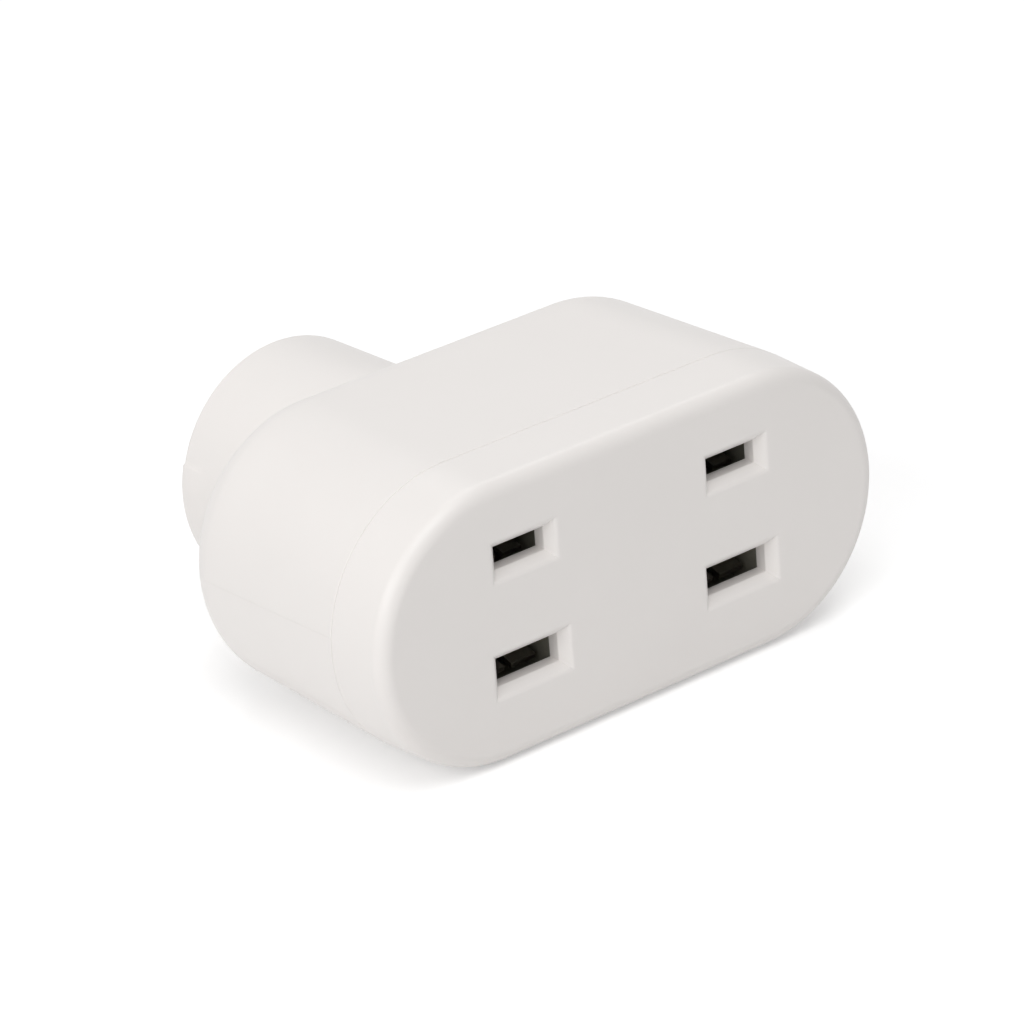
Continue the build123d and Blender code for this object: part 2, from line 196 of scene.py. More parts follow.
@dataclass
class Surface:
    """Part of a piece's skin: points with x, depth and rise, and the quads between them."""

    points: np.ndarray
    quads: np.ndarray

    @classmethod
    def from_rows(cls, rows: np.ndarray, closed: bool = True) -> "Surface":
        """Skin over rows of points, each row joined to the next."""
        count, columns = rows.shape[:2]
        return cls(rows.reshape(-1, 3), grid_quads(count, columns, closed))

    @classmethod
    def turned(
        cls,
        profile: np.ndarray,
        x: float,
        base: float,
        turn: Turn,
        swell: Optional[np.ndarray] = None,
        angles: Optional[np.ndarray] = None,
    ) -> "Surface":
        """Skin of a turned shape: a point of the profile goes round at its own radius.

        The point at angle a stands at the axis plus radius times (cosine a, sine a).

        Args:
            profile: distance along the axis and radius of each point.
            x: x of the axis.
            base: rise of a rearward axis, or depth of an upward one.
            turn: the axis.
            swell: what is added to the radius at each profile point and angle.
            angles: angles of the columns; evenly spaced where left out.

        Returns:
            The skin.
        """
        if angles is None:
            angles = np.linspace(0, 2 * np.pi, ROUND_COLUMNS, endpoint=False)
        along, radius = (values[:, None] for values in profile.T)
        if swell is not None:
            radius = radius + swell
        across = x + radius * np.cos(angles)
        other = base + radius * np.sin(angles)
        along = np.broadcast_to(along, across.shape)
        order = (across, along, other) if turn is Turn.REARWARD else (across, other, along)
        return cls.from_rows(np.stack(order, axis=-1))


def shade(mesh: bpy.types.Mesh) -> None:
    """Smooth the shading of a mesh, except over its sharp edges."""
    mesh.polygons.foreach_set("use_smooth", np.ones(len(mesh.polygons), bool))
    mesh.set_sharp_from_angle(angle=SHARP_ANGLE)


def make_solid(name: str, skins: Sequence[Surface]) -> bpy.types.Object:
    """Closed mesh object from the parts of its skin, with its faces pointing outwards.

    Args:
        name: name of the object.
        skins: parts that meet along shared points.

    Returns:
        The object, in metres in the frame.
    """
    starts = np.cumsum([0] + [len(skin.points) for skin in skins[:-1]])
    points = np.concatenate([skin.points for skin in skins])
    quads = np.concatenate([skin.quads + start for skin, start in zip(skins, starts)])
    mesh = bpy.data.meshes.new(name)
    mesh.from_pydata(((points + FORM.origin) * MM).tolist(), [], quads.tolist())
    cleaner = bmesh.new()
    cleaner.from_mesh(mesh)
    bmesh.ops.remove_doubles(cleaner, verts=cleaner.verts, dist=MERGE_DISTANCE)
    bmesh.ops.recalc_face_normals(cleaner, faces=cleaner.faces)
    cleaner.to_mesh(mesh)
    cleaner.free()
    shade(mesh)
    solid = bpy.data.objects.new(name, mesh)
    bpy.context.scene.collection.objects.link(solid)
    return solid


def carve(solid: bpy.types.Object, cutters: Sequence[bpy.types.Object], operation: str) -> None:
    """Cut a solid by closed tools and keep the result as its mesh.

    Args:
        solid: the object that is cut.
        cutters: the tools, removed afterwards.
        operation: DIFFERENCE takes the tools' shapes out, INTERSECT keeps what they share.
    """
    for cutter in cutters:
        modifier = solid.modifiers.new(cutter.name, "BOOLEAN")
        modifier.operation = operation
        modifier.solver = "EXACT"
        modifier.object = cutter
    bpy.context.view_layer.update()
    evaluated = solid.evaluated_get(bpy.context.evaluated_depsgraph_get())
    mesh = bpy.data.meshes.new_from_object(evaluated)
    solid.modifiers.clear()
    solid.data = mesh
    shade(mesh)
    for cutter in cutters:
        bpy.data.objects.remove(cutter)


# Sizes that the mouldings share


@dataclass(frozen=True)
class Housing:
    """Driving sizes of the oblong housing, and the curve that all of its rings follow."""

    seam_length: float = 68.4
    rear_length: float = 65.9
    height: float = 32.0
    depth: float = 35.4
    cap_depth: float = 7.7
    wall: float = 2.4
    face_wall: float = 2.5
    seam_round: float = 0.12
    seam_gap: float = 0.03
    boss_x: float = -7.5
    boss_end: float = 50.8
    screw_x: float = 25.5
    screw_seat: float = 16.0
    head_bore: float = 3.1

    @property
    def origin(self) -> np.ndarray:
        """Place in the frame of the point at x 0, depth 0 and rise 0, in millimetres."""
        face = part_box("front_cap")[0].y
        low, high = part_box("rear_body")
        return np.array([0.0, face, (low.z + high.z) / 2]) / MM

    def centre_at(self, depth: np.ndarray) -> np.ndarray:
        """Half the distance between the middles of the round ends: it shrinks behind the seam."""
        share = np.clip((depth - self.cap_depth) / (self.depth - self.cap_depth), 0, 1)
        length = self.seam_length + (self.rear_length - self.seam_length) * share
        return (length - self.height) / 2

    def rings(self, block: "Block", profile: np.ndarray) -> np.ndarray:
        """Rows of points that follow the oblong, one row for each point of a profile.

        A point slides along the middle line between the centres of the round ends and
        stands off from there by the ring's radius in its own direction.

        Args:
            block: the flat block whose edge gives the number of points.
            profile: depth and radius of each ring.

        Returns:
            Array of rings, points and coordinates.
        """
        depth, radius = (values[:, None] for values in profile.T)
        slide, angle = block.path()
        x = slide * self.centre_at(depth) + radius * np.cos(angle)
        return np.stack([x, np.broadcast_to(depth, x.shape), radius * np.sin(angle)], axis=-1)


FORM = Housing()


@dataclass
class Block:
    """Flat rectangular grid in the middle of a face, inside the ring of its rounded edge."""

    half_length: float
    half_height: float
    openings: Sequence["Slot"] = ()
    spacing: float = 0.5
    end_spacing: float = 0.31
    straight_share: float = 0.88
    corner_angle: float = 70.0
    border_shares: tuple[float, ...] = (0.0, 0.5, 0.85, 0.97, 1.0)

    def __post_init__(self) -> None:
        """Work out the grid lines, with a line along every side of an opening."""
        sides = [(slot.x - slot.reach_x, slot.x + slot.reach_x) for slot in self.openings]
        ends = [(slot.rise - slot.reach_rise, slot.rise + slot.reach_rise) for slot in self.openings]
        flat_sides = [value for pair in sides for value in pair]
        flat_ends = [value for pair in ends for value in pair]
        self.xs = grid_lines(-self.half_length, self.half_length, flat_sides, self.spacing)
        self.rises = grid_lines(-self.half_height, self.half_height, flat_ends, self.end_spacing)

    def path(self) -> tuple[np.ndarray, np.ndarray]:
        """Slide and direction of each point of a ring that goes with the block's edge.

        Along most of a long side the direction stays straight down or up and the slide goes
        from -1 to 1. Past that the direction turns to the corner's angle, and along a short
        side it turns on from one corner's angle to the other's.
        """
        x, rise = rectangle_loop(self.xs, self.rises).T
        straight = self.half_length * self.straight_share
        corner = radians(self.corner_angle)
        past = np.clip((abs(x) - straight) / (self.half_length - straight), 0, 1)
        along_side = np.sign(rise) * (np.pi / 2 - past * (np.pi / 2 - corner))
        turn = np.where(past < 1, along_side, corner * rise / self.half_height)
        return np.clip(x / straight, -1, 1), np.where(x < 0, np.pi - turn, turn)

    def edge(self, depth: float) -> np.ndarray:
        """Ring of points along the block's own edge."""
        x, rise = rectangle_loop(self.xs, self.rises).T
        return np.stack([x, np.full(len(x), depth), rise], axis=-1)

    def panel(self, depth: float) -> Surface:
        """Flat grid of the block with its openings left out."""
        x, rise = np.meshgrid(self.xs, self.rises)
        points = np.stack([x, np.full(x.shape, depth), rise], axis=-1)
        skin = Surface.from_rows(points, closed=False)
        middle_x = np.tile((self.xs[:-1] + self.xs[1:]) / 2, len(self.rises) - 1)
        middle_rise = np.repeat((self.rises[:-1] + self.rises[1:]) / 2, len(self.xs) - 1)
        kept = np.ones(len(skin.quads), bool)
        for slot in self.openings:
            beside = abs(middle_x - slot.x) < slot.reach_x
            level = abs(middle_rise - slot.rise) < slot.reach_rise
            kept &= ~(beside & level)
        skin.quads = skin.quads[kept]
        return skin

    def border(self, depth: float, radius: float) -> np.ndarray:
        """Rings from the block's edge out to the flat's own edge, closer together near it."""
        shares = np.array(self.border_shares)[:, None, None]
        outer = FORM.rings(self, np.array([[depth, radius]]))
        return self.edge(depth)[None] * (1 - shares) + outer * shares


@dataclass(frozen=True)
class Slot:
    """One blade slot: a sloped lead-in with soft edges and a straight window behind it."""

    x: float
    rise: float
    length: float
    height: float
    slope_width: float = 0.95
    slope_depth: float = 1.1
    margin: float = 0.4
    outer_round: float = 0.75
    inner_round: float = 0.22

    @property
    def reach_x(self) -> float:
        """Half the length of the square that the slot takes from the face."""
        return self.length / 2 + self.slope_width + self.margin

    @property
    def reach_rise(self) -> float:
        """Half the height of the square that the slot takes from the face."""
        return self.height / 2 + self.slope_width + self.margin

    def funnel(self, block: Block, wall: float) -> Surface:
        """Skin of the slot: rectangles that shrink along the slope and go straight to the back.

        Args:
            block: the face block that the slot is cut in.
            wall: thickness of the face.

        Returns:
            The skin, from the front of the face round to its back.
        """
        foot = self.margin + self.slope_width
        line = rounded_profile(
            [
                (0.0, 0.0, 0.0),
                (self.margin, 0.0, self.outer_round),
                (foot, self.slope_depth, self.inner_round),
                (foot, wall, 0.0),
                (0.0, wall, 0.0),
            ]
        )
        inset, depth = (values[:, None] for values in line.T)
        xs = block.xs[abs(block.xs - self.x) < self.reach_x + MERGE_DISTANCE]
        rises = block.rises[abs(block.rises - self.rise) < self.reach_rise + MERGE_DISTANCE]
        x, rise = rectangle_loop((xs - self.x) / self.reach_x, (rises - self.rise) / self.reach_rise).T
        across = self.x + x * (self.reach_x - inset)
        up = self.rise + rise * (self.reach_rise - inset)
        return Surface.from_rows(np.stack([across, np.broadcast_to(depth, across.shape), up], axis=-1))


# Finishes


def linear(colour: str) -> tuple[float, float, float, float]:
    """Linear colour with full alpha for an sRGB hex value such as EDEAE6."""
    shares = np.array([int(colour[start:start + 2], 16) for start in (0, 2, 4)]) / 255
    values = np.where(shares <= 0.04045, shares / 12.92, ((shares + 0.055) / 1.055) ** 2.4)
    return (*values.tolist(), 1.0)


def per_metre(size: float) -> float:
    """Texture scale whose pattern repeats about once in a size in millimetres."""
    return 1 / (size * MM)


def add_node(
    tree: bpy.types.NodeTree, kind: str, inputs: Optional[dict[Any, Any]] = None, **settings: Any
) -> bpy.types.Node:
    """Add a node to a tree.

    Args:
        tree: the material's or world's tree.
        kind: type name of the node.
        inputs: value or other node's output for each input, by name or number.
        settings: the node's own properties.

    Returns:
        The new node.
    """
    node = tree.nodes.new(kind)
    for name, value in settings.items():
        setattr(node, name, value)
    for socket, value in (inputs or {}).items():
        if isinstance(value, bpy.types.NodeSocket):
            tree.links.new(value, node.inputs[socket])
        else:
            node.inputs[socket].default_value = value
    return node


@dataclass(frozen=True)
class MouldLine:
    """Faint raised line where two halves of the mould meet, on the left end of the housing."""

    seam_rise: float = 1.8
    rear_rise: float = 0.3
    width: float = 0.16
    proud: float = 0.022
    left_from: float = -27.0
    left_to: float = -30.0


@dataclass(frozen=True)
class Plastic:
    """Moulded plastic or rubber: an even body colour with faint flow marks and a fine grain."""

    name: str
    colour: str
    flow_colour: str
    roughness: float
    ior: float
    grain: float
    grain_height: float
    flow: float = 14.0
    flow_detail: float = 3.0
    grain_detail: float = 2.0
    roughness_spread: float = 0.06
    line: Optional[MouldLine] = None

    def material(self) -> bpy.types.Material:
        """Build the material: flow marks tint it and vary its gloss, the grain is a bump."""
        material = bpy.data.materials.new(self.name)
        material.use_nodes = True
        tree = material.node_tree
        tree.nodes.clear()
        place = add_node(tree, "ShaderNodeTexCoord").outputs["Object"]
        flow = add_node(
            tree,
            "ShaderNodeTexNoise",
            {"Vector": place, "Scale": per_metre(self.flow), "Detail": self.flow_detail},
        ).outputs[0]
        tint = add_node(
            tree,
            "ShaderNodeMix",
            {
                MIX_SHARE: flow,
                MIX_FIRST: linear(self.colour),
                MIX_SECOND: linear(self.flow_colour),
            },
            data_type="RGBA",
        ).outputs[MIX_RESULT]
        gloss = add_node(
            tree,
            "ShaderNodeMapRange",
            {
                "Value": flow,
                "To Min": self.roughness - self.roughness_spread,
                "To Max": self.roughness + self.roughness_spread,
            },
        ).outputs[0]
        grain = add_node(
            tree,
            "ShaderNodeTexNoise",
            {"Vector": place, "Scale": per_metre(self.grain), "Detail": self.grain_detail},
        ).outputs[0]
        normal = add_node(
            tree,
            "ShaderNodeBump",
            {"Height": grain, "Strength": 1.0, "Distance": self.grain_height * MM},
        ).outputs[0]
        if self.line:
            height = self.line_height(tree, place)
            normal = add_node(
                tree,
                "ShaderNodeBump",
                {"Height": height, "Strength": 1.0, "Distance": self.line.proud * MM, "Normal": normal},
            ).outputs[0]
        shader = add_node(
            tree,
            "ShaderNodeBsdfPrincipled",
            {"Base Color": tint, "Roughness": gloss, "IOR": self.ior, "Normal": normal},
        )
        add_node(tree, "ShaderNodeOutputMaterial", {"Surface": shader.outputs[0]})
        return material

    def line_height(
        self, tree: bpy.types.NodeTree, place: bpy.types.NodeSocket
    ) -> bpy.types.NodeSocket:
        """Height of the mould line: 1 on a leaning plane through the left end, 0 a width away."""
        fall = (self.line.rear_rise - self.line.seam_rise) / (FORM.depth - FORM.cap_depth)
        on_line = Vector((0, FORM.cap_depth, self.line.seam_rise)) + Vector(FORM.origin)
        across = Vector((0, -fall, 1)).normalized()
        distance = add_node(
            tree, "ShaderNodeVectorMath", {0: place, 1: across}, operation="DOT_PRODUCT"
        ).outputs["Value"]
        off = add_node(
            tree, "ShaderNodeMath", {0: distance, 1: across.dot(on_line) * MM}, operation="SUBTRACT"
        ).outputs[0]
        away = add_node(tree, "ShaderNodeMath", {0: off}, operation="ABSOLUTE").outputs[0]
        ridge = add_node(
            tree,
            "ShaderNodeMapRange",
            {
                "Value": away,
                "From Min": 0.0,
                "From Max": self.line.width / 2 * MM,
                "To Min": 1.0,
                "To Max": 0.0,
            },
            interpolation_type="SMOOTHSTEP",
        ).outputs[0]
        x = add_node(tree, "ShaderNodeSeparateXYZ", {0: place}).outputs[0]
        left = add_node(
            tree,
            "ShaderNodeMapRange",
            {"Value": x, "From Min": self.line.left_from * MM, "From Max": self.line.left_to * MM},
        ).outputs[0]
        return add_node(tree, "ShaderNodeMath", {0: ridge, 1: left}, operation="MULTIPLY").outputs[0]


@dataclass(frozen=True)
class Metal:
    """Bare or plated metal: marks drawn out along X, which tint it and vary its gloss."""

    name: str
    colour: str
    mark_colour: str
    roughness: float
    mark_length: float
    mark_width: float
    mark_height: float
    mark_detail: float = 4.0
    spread: float = 0.2

    def material(self) -> bpy.types.Material:
        """Build the material: one stretched noise gives the tint, the gloss and the bump."""
        material = bpy.data.materials.new(self.name)
        material.use_nodes = True
        tree = material.node_tree
        tree.nodes.clear()
        place = add_node(tree, "ShaderNodeTexCoord").outputs["Object"]
        width, length = per_metre(self.mark_width), per_metre(self.mark_length)
        stretched = add_node(
            tree, "ShaderNodeMapping", {"Vector": place, "Scale": (length, width, width)}
        ).outputs[0]
        marks = add_node(
            tree,
            "ShaderNodeTexNoise",
            {"Vector": stretched, "Scale": 1.0, "Detail": self.mark_detail},
        ).outputs[0]
        tint = add_node(
            tree,
            "ShaderNodeMix",
            {
                MIX_SHARE: marks,
                MIX_FIRST: linear(self.colour),
                MIX_SECOND: linear(self.mark_colour),
            },
            data_type="RGBA",
        ).outputs[MIX_RESULT]
        gloss = add_node(
            tree,
            "ShaderNodeMapRange",
            {
                "Value": marks,
                "To Min": self.roughness * (1 - self.spread),
                "To Max": self.roughness * (1 + self.spread),
            },
        ).outputs[0]
        normal = add_node(
            tree,
            "ShaderNodeBump",
            {"Height": marks, "Strength": 1.0, "Distance": self.mark_height * MM},
        ).outputs[0]
        shader = add_node(
            tree,
            "ShaderNodeBsdfPrincipled",
            {"Base Color": tint, "Metallic": 1.0, "Roughness": gloss, "Normal": normal},
        )
        add_node(tree, "ShaderNodeOutputMaterial", {"Surface": shader.outputs[0]})
        return material


# Urea, moulded in a polished tool: a warm white whose satin skin blurs what it reflects
CAP_UREA = Plastic("moulded_white_urea", "EDE9E6", "EAE6E3", 0.36, 1.5, 0.3, 0.002)
# The same urea on the body, whose mould left a hair line on the left end
BODY_UREA = Plastic(
    "moulded_white_urea_lined", "EDE9E6", "EAE6E3", 0.38, 1.5, 0.3, 0.002, line=MouldLine()
)
# Phenolic block, moulded matt: a dull grey brown that keeps the depth of the slots dark
CARRIER_PHENOLIC = Plastic(
    "moulded_grey_phenolic", "8A877C", "979488", 0.52, 1.55, 0.5, 0.01, flow=6.0
)
# Nylon clamp, moulded off-white: duller and a little yellower than the housing
CLAMP_NYLON = Plastic("moulded_natural_nylon", "E3DFD3", "DDD8CB", 0.55, 1.53, 0.4, 0.006, flow=8.0)
# Soft PVC bush, moulded: a dull skin with a soft sheen and no sharp reflection
BUSH_RUBBER = Plastic("moulded_soft_pvc", "E4E1DD", "DEDBD7", 0.62, 1.52, 0.35, 0.008, flow=6.0)
# Rolled brass strip: rolling lines stretch its yellow reflections
ROLLED_BRASS = Metal("rolled_brass", "D1AF68", "C09A52", 0.28, 6.0, 0.25, 0.002)
# Tinned bronze strip: a dull silver skin, mottled by the dip
TINNED_BRONZE = Metal("tinned_bronze_strip", "B7B4AC", "A5A199", 0.36, 1.6, 0.6, 0.002)
# Headed brass rivet: brighter than the strip, without rolling lines
HEADED_BRASS = Metal("headed_brass", "CDA95F", "B98F49", 0.32, 0.8, 0.5, 0.002)
# Steel, zinc plated: grey with a faint blue, softly mottled
ZINC_STEEL = Metal("zinc_plated_steel", "BEC1C6", "A9ACB2", 0.34, 1.0, 0.7, 0.002)


# Pieces


def mount(
    piece: bpy.types.Object, material: bpy.types.Material, slot: str, *nodes: str
) -> bpy.types.Object:
    """Dress a new piece, fix it to the socket and let it stand for its CAD nodes.

    Args:
        piece: the new piece.
        material: its finish.
        slot: material slot of the record; not used.
        nodes: CAD nodes that it stands for.

    Returns:
        The piece.
    """
    piece.data.materials.clear()
    piece.data.materials.append(material)
    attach(piece, BODY)
    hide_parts(*nodes)
    return piece


@dataclass
class FrontCap:
    """Front cap: slotted face, rounded face edge, tapered side and the spigot behind the seam."""

    taper: float = 0.4
    face_round: float = 1.7
    spigot_inset: float = 1.2
    spigot_length: float = 3.0
    spigot_round: float = 0.2
    outlet_x: float = 14.4
    blade_spacing: float = 12.7
    slot_centre_rise: float = 0.7
    live_window: tuple[float, float] = (6.6, 2.6)
    neutral_window: tuple[float, float] = (8.2, 3.2)
    block_length: float = 20.6
    block_height: float = 10.2
    ring_spacing: float = 0.8

    def slots(self) -> list[Slot]:
        """Four slots: on each outlet the small live one above the large neutral one."""
        half = self.blade_spacing / 2
        poles = ((half, self.live_window), (-half, self.neutral_window))
        return [
            Slot(x, self.slot_centre_rise + rise, *window)
            for x in (-self.outlet_x, self.outlet_x)
            for rise, window in poles
        ]

    def outline(self) -> np.ndarray:
        """Depth and radius from the edge of the flat face round the side to the back of the face."""
        side = FORM.height / 2
        flat = side - self.taper - self.face_round
        spigot = side - self.spigot_inset
        spigot_end = FORM.cap_depth + self.spigot_length
        line = rounded_profile(
            [
                (0.0, flat, 0.0),
                (0.0, side - self.taper, self.face_round),
                (FORM.cap_depth, side, FORM.seam_round),
                (FORM.cap_depth, spigot, 0.0),
                (spigot_end, spigot, self.spigot_round),
                (spigot_end, side - FORM.wall, 0.0),
                (FORM.face_wall, side - FORM.wall, 0.0),
                (FORM.face_wall, flat, 0.0),
            ],
            step=FINE_ARC_STEP,
        )
        return subdivided(line, self.ring_spacing)

    def build(self) -> bpy.types.Object:
        """Close the face, the slots, the side and the back of the face into one solid."""
        slots = self.slots()
        block = Block(self.block_length, self.block_height, slots)
        outline = self.outline()
        flat = outline[0, 1]
        skins = [
            block.panel(0.0),
            Surface.from_rows(block.border(0.0, flat)),
            Surface.from_rows(FORM.rings(block, outline)),
            Surface.from_rows(block.border(FORM.face_wall, flat)),
            block.panel(FORM.face_wall),
        ]
        skins += [slot.funnel(block, FORM.face_wall) for slot in slots]
        cap = make_solid("slotted_front_cap", skins)
        return mount(cap, CAP_UREA.material(), "housing_plastic", "front_cap")


@dataclass
class RearBody:
    """Rear housing with its screw bores, the cable boss, and what they hold inside."""

    rear_round: float = 5.2
    hollow_round: float = 2.0
    mouth_lip: float = 1.1
    mouth_depth: float = 3.2
    block_length: float = 17.5
    block_height: float = 7.0
    ring_spacing: float = 0.8
    bore_edge: float = 0.2
    bore_radius: float = 12.0
    bore_slack: float = 0.05
    column_radius: float = 3.9
    column_front: float = 14.0
    passage_radius: float = 1.7
    boss_radius: float = 14.4
    boss_draft: float = 1.0
    boss_round: float = 0.7
    boss_columns: int = 240
    seat_round: float = 0.15
    bore_round: float = 0.5
    boss_start: float = 33.1
    step_proud: float = 0.2
    step_rise: float = 4.0
    step_width: float = 0.3
    step_from: float = 46.4
    step_to: float = 49.4
    step_margin: float = 1.0
    seat_radius: float = 7.4
    seat_depth: float = 1.2
    waist_radius: float = 5.6
    end_wall: float = 3.0
    cradle_depth: float = 42.0
    pillar_x: float = 7.0
    pillar_radius: float = 3.4
    pillar_top: float = 0.6
    pillar_foot: float = -16.0
    pillar_bite: float = 0.6
    clamp_seat: float = -7.5
    cord_radius: float = 4.1
    overcut: float = 1.0

    def build(self) -> list[bpy.types.Object]:
        """Make the housing, the boss, the screw columns and the cord cradle."""
        material = BODY_UREA.material()
        solids = [self.housing(), self.boss(), *self.columns(), *self.pillars()]
        return [mount(solid, material, "housing_plastic", "rear_body") for solid in solids]

    def cutter(
        self, name: str, line: Sequence[tuple[float, float]], x: float, base: float, turn: Turn
    ) -> bpy.types.Object:
        """Closed turned tool, with both ends of its line on the axis."""
        return make_solid(name, [Surface.turned(np.array(line), x, base, turn)])

    def housing(self) -> bpy.types.Object:
        """Tapered oblong shell: closed rear wall, round rear edge, seam edge and mouth."""
        side = FORM.height / 2
        flat = side - self.rear_round
        inner_rear = FORM.depth - FORM.wall
        mouth = FORM.cap_depth + self.mouth_depth
        front = FORM.cap_depth + FORM.seam_gap
        line = rounded_profile(
            [
                (FORM.depth, flat, 0.0),
                (FORM.depth, side, self.rear_round),
                (front, side, FORM.seam_round),
                (front, side - self.mouth_lip, 0.0),
                (mouth, side - self.mouth_lip, 0.0),
                (mouth, side - FORM.wall, 0.0),
                (inner_rear, side - FORM.wall, self.hollow_round),
                (inner_rear, flat, 0.0),
            ],
            step=FINE_ARC_STEP,
        )
        block = Block(self.block_length, self.block_height)
        shell = make_solid(
            "rear_housing",
            [
                block.panel(FORM.depth),
                Surface.from_rows(block.border(FORM.depth, flat)),
                Surface.from_rows(FORM.rings(block, subdivided(line, self.ring_spacing))),
                Surface.from_rows(block.border(inner_rear, flat)),
                block.panel(inner_rear),
            ],
        )
        before, behind = inner_rear - self.overcut, FORM.depth + self.overcut
        edge = FORM.depth - self.bore_edge
        wide = FORM.head_bore + 2 * self.bore_edge
        screw_bore = [
            (before, 0),
            (before, FORM.head_bore),
            (edge, FORM.head_bore),
            (edge + 2 * self.bore_edge, wide),
            (behind, wide),
            (behind, 0),
        ]
        cord_bore = self.bore_radius + self.bore_slack
        cutters = [
            self.cutter("screw_bore", screw_bore, x, 0.0, Turn.REARWARD)
            for x in (-FORM.screw_x, FORM.screw_x)
        ]
        cutters.append(
            self.cutter(
                "cord_bore",
                [(before, 0), (before, cord_bore), (behind, cord_bore), (behind, 0)],
                FORM.boss_x,
                0.0,
                Turn.REARWARD,
            )
        )
        carve(shell, cutters, "DIFFERENCE")
        return shell

    def boss(self) -> bpy.types.Object:
        """Drafted boss with a stepped seat for the bush.

        Its radius shrinks by the draft, and grows by the step below the parting line of
        the mould, where the step fades in towards the end.
        """
        root = FORM.depth - self.rear_round
        draft = tan(radians(self.boss_draft))
        start_radius = self.boss_radius - (self.boss_start - root) * draft
        end_radius = self.boss_radius - (FORM.boss_end - root) * draft
        seat = FORM.boss_end - self.seat_depth
        inside = FORM.boss_end - self.end_wall
        line = rounded_profile(
            [
                (self.boss_start, self.bore_radius, 0.0),
                (self.boss_start, start_radius, 0.0),
                (FORM.boss_end, end_radius, self.boss_round),
                (FORM.boss_end, self.seat_radius, self.seat_round),
                (seat, self.seat_radius, 0.0),
                (seat, self.waist_radius, 0.0),
                (inside, self.waist_radius, 0.0),
                (inside, self.bore_radius, self.bore_round),
                (self.boss_start, self.bore_radius, 0.0),
            ]
        )
        line = subdivided(line, self.ring_spacing)
        parting = np.arcsin(self.step_rise / self.boss_radius)
        half_width = self.step_width / self.boss_radius / 2
        ledges = np.concatenate(
            [centre + np.array([-1, 0, 1]) * half_width for centre in (parting, np.pi - parting)]
        )
        even = np.linspace(0, 2 * np.pi, self.boss_columns, endpoint=False)
        angles = np.sort(np.concatenate([even, ledges]))
        below = np.clip((np.sin(parting) - np.sin(angles)) / half_width / 2 + 0.5, 0, 1)
        rearward = np.clip((line[:, 0] - self.step_from) / (self.step_to - self.step_from), 0, 1)
        outside = line[:, 1] > self.bore_radius + self.step_margin
        swell = self.step_proud * (rearward**2 * (3 - 2 * rearward) * outside)[:, None] * below
        boss = make_solid(
            "cable_boss", [Surface.turned(line, FORM.boss_x, 0.0, Turn.REARWARD, swell, angles)]
        )
        foot, top = self.pillar_foot - self.overcut, self.clamp_seat - self.overcut
        under = [(foot, 0), (foot, FORM.head_bore), (top, FORM.head_bore), (top, 0)]
        cutters = [
            self.cutter("clamp_screw_bore", under, x, self.cradle_depth, Turn.UPWARD)
            for x in (FORM.boss_x - self.pillar_x, FORM.boss_x + self.pillar_x)
        ]
        carve(boss, cutters, "DIFFERENCE")
        return boss

    def columns(self) -> list[bpy.types.Object]:
        """Two tubes round the cover screws, with a floor under each head."""
        bore = FORM.head_bore + self.bore_slack
        end = FORM.depth - self.bore_edge * 2
        line = [
            (self.column_front, self.passage_radius),
            (self.column_front, self.column_radius),
            (end, self.column_radius),
            (end, bore),
            (FORM.screw_seat, bore),
            (FORM.screw_seat, self.passage_radius),
            (self.column_front, self.passage_radius),
        ]
        return [
            make_solid(name, [Surface.turned(np.array(line), x, 0.0, Turn.REARWARD)])
            for name, x in (("left_screw_column", -FORM.screw_x), ("right_screw_column", FORM.screw_x))
        ]

    def pillars(self) -> list[bpy.types.Object]:
        """Two pillars of the cord cradle, cut to the boss's wall and grooved for the cord."""
        bore = FORM.head_bore + self.bore_slack
        line = [
            (self.pillar_foot, bore),
            (self.pillar_foot, self.pillar_radius),
            (self.pillar_top, self.pillar_radius),
            (self.pillar_top, self.passage_radius),
            (self.clamp_seat, self.passage_radius),
            (self.clamp_seat, bore),
            (self.pillar_foot, bore),
        ]
        front = self.cradle_depth - 2 * self.pillar_radius
        rear = self.cradle_depth + 2 * self.pillar_radius
        wall = self.bore_radius + self.pillar_bite
        solids = []
        for name, side in (("left_cradle_pillar", -1), ("right_cradle_pillar", 1)):
            x = FORM.boss_x + side * self.pillar_x
            skin = Surface.turned(np.array(line), x, self.cradle_depth, Turn.UPWARD)
            pillar = make_solid(name, [skin])
            keep = self.cutter(
                "boss_bore",
                [(front, 0), (front, wall), (rear, wall), (rear, 0)],
                FORM.boss_x,
                0.0,
                Turn.REARWARD,
            )
            carve(pillar, [keep], "INTERSECT")
            groove = self.cutter(
                "cord_groove",
                [(front, 0), (front, self.cord_radius), (rear, self.cord_radius), (rear, 0)],
                FORM.boss_x,
                0.0,
                Turn.REARWARD,
            )
            carve(pillar, [groove], "DIFFERENCE")
            solids.append(pillar)
        return solids


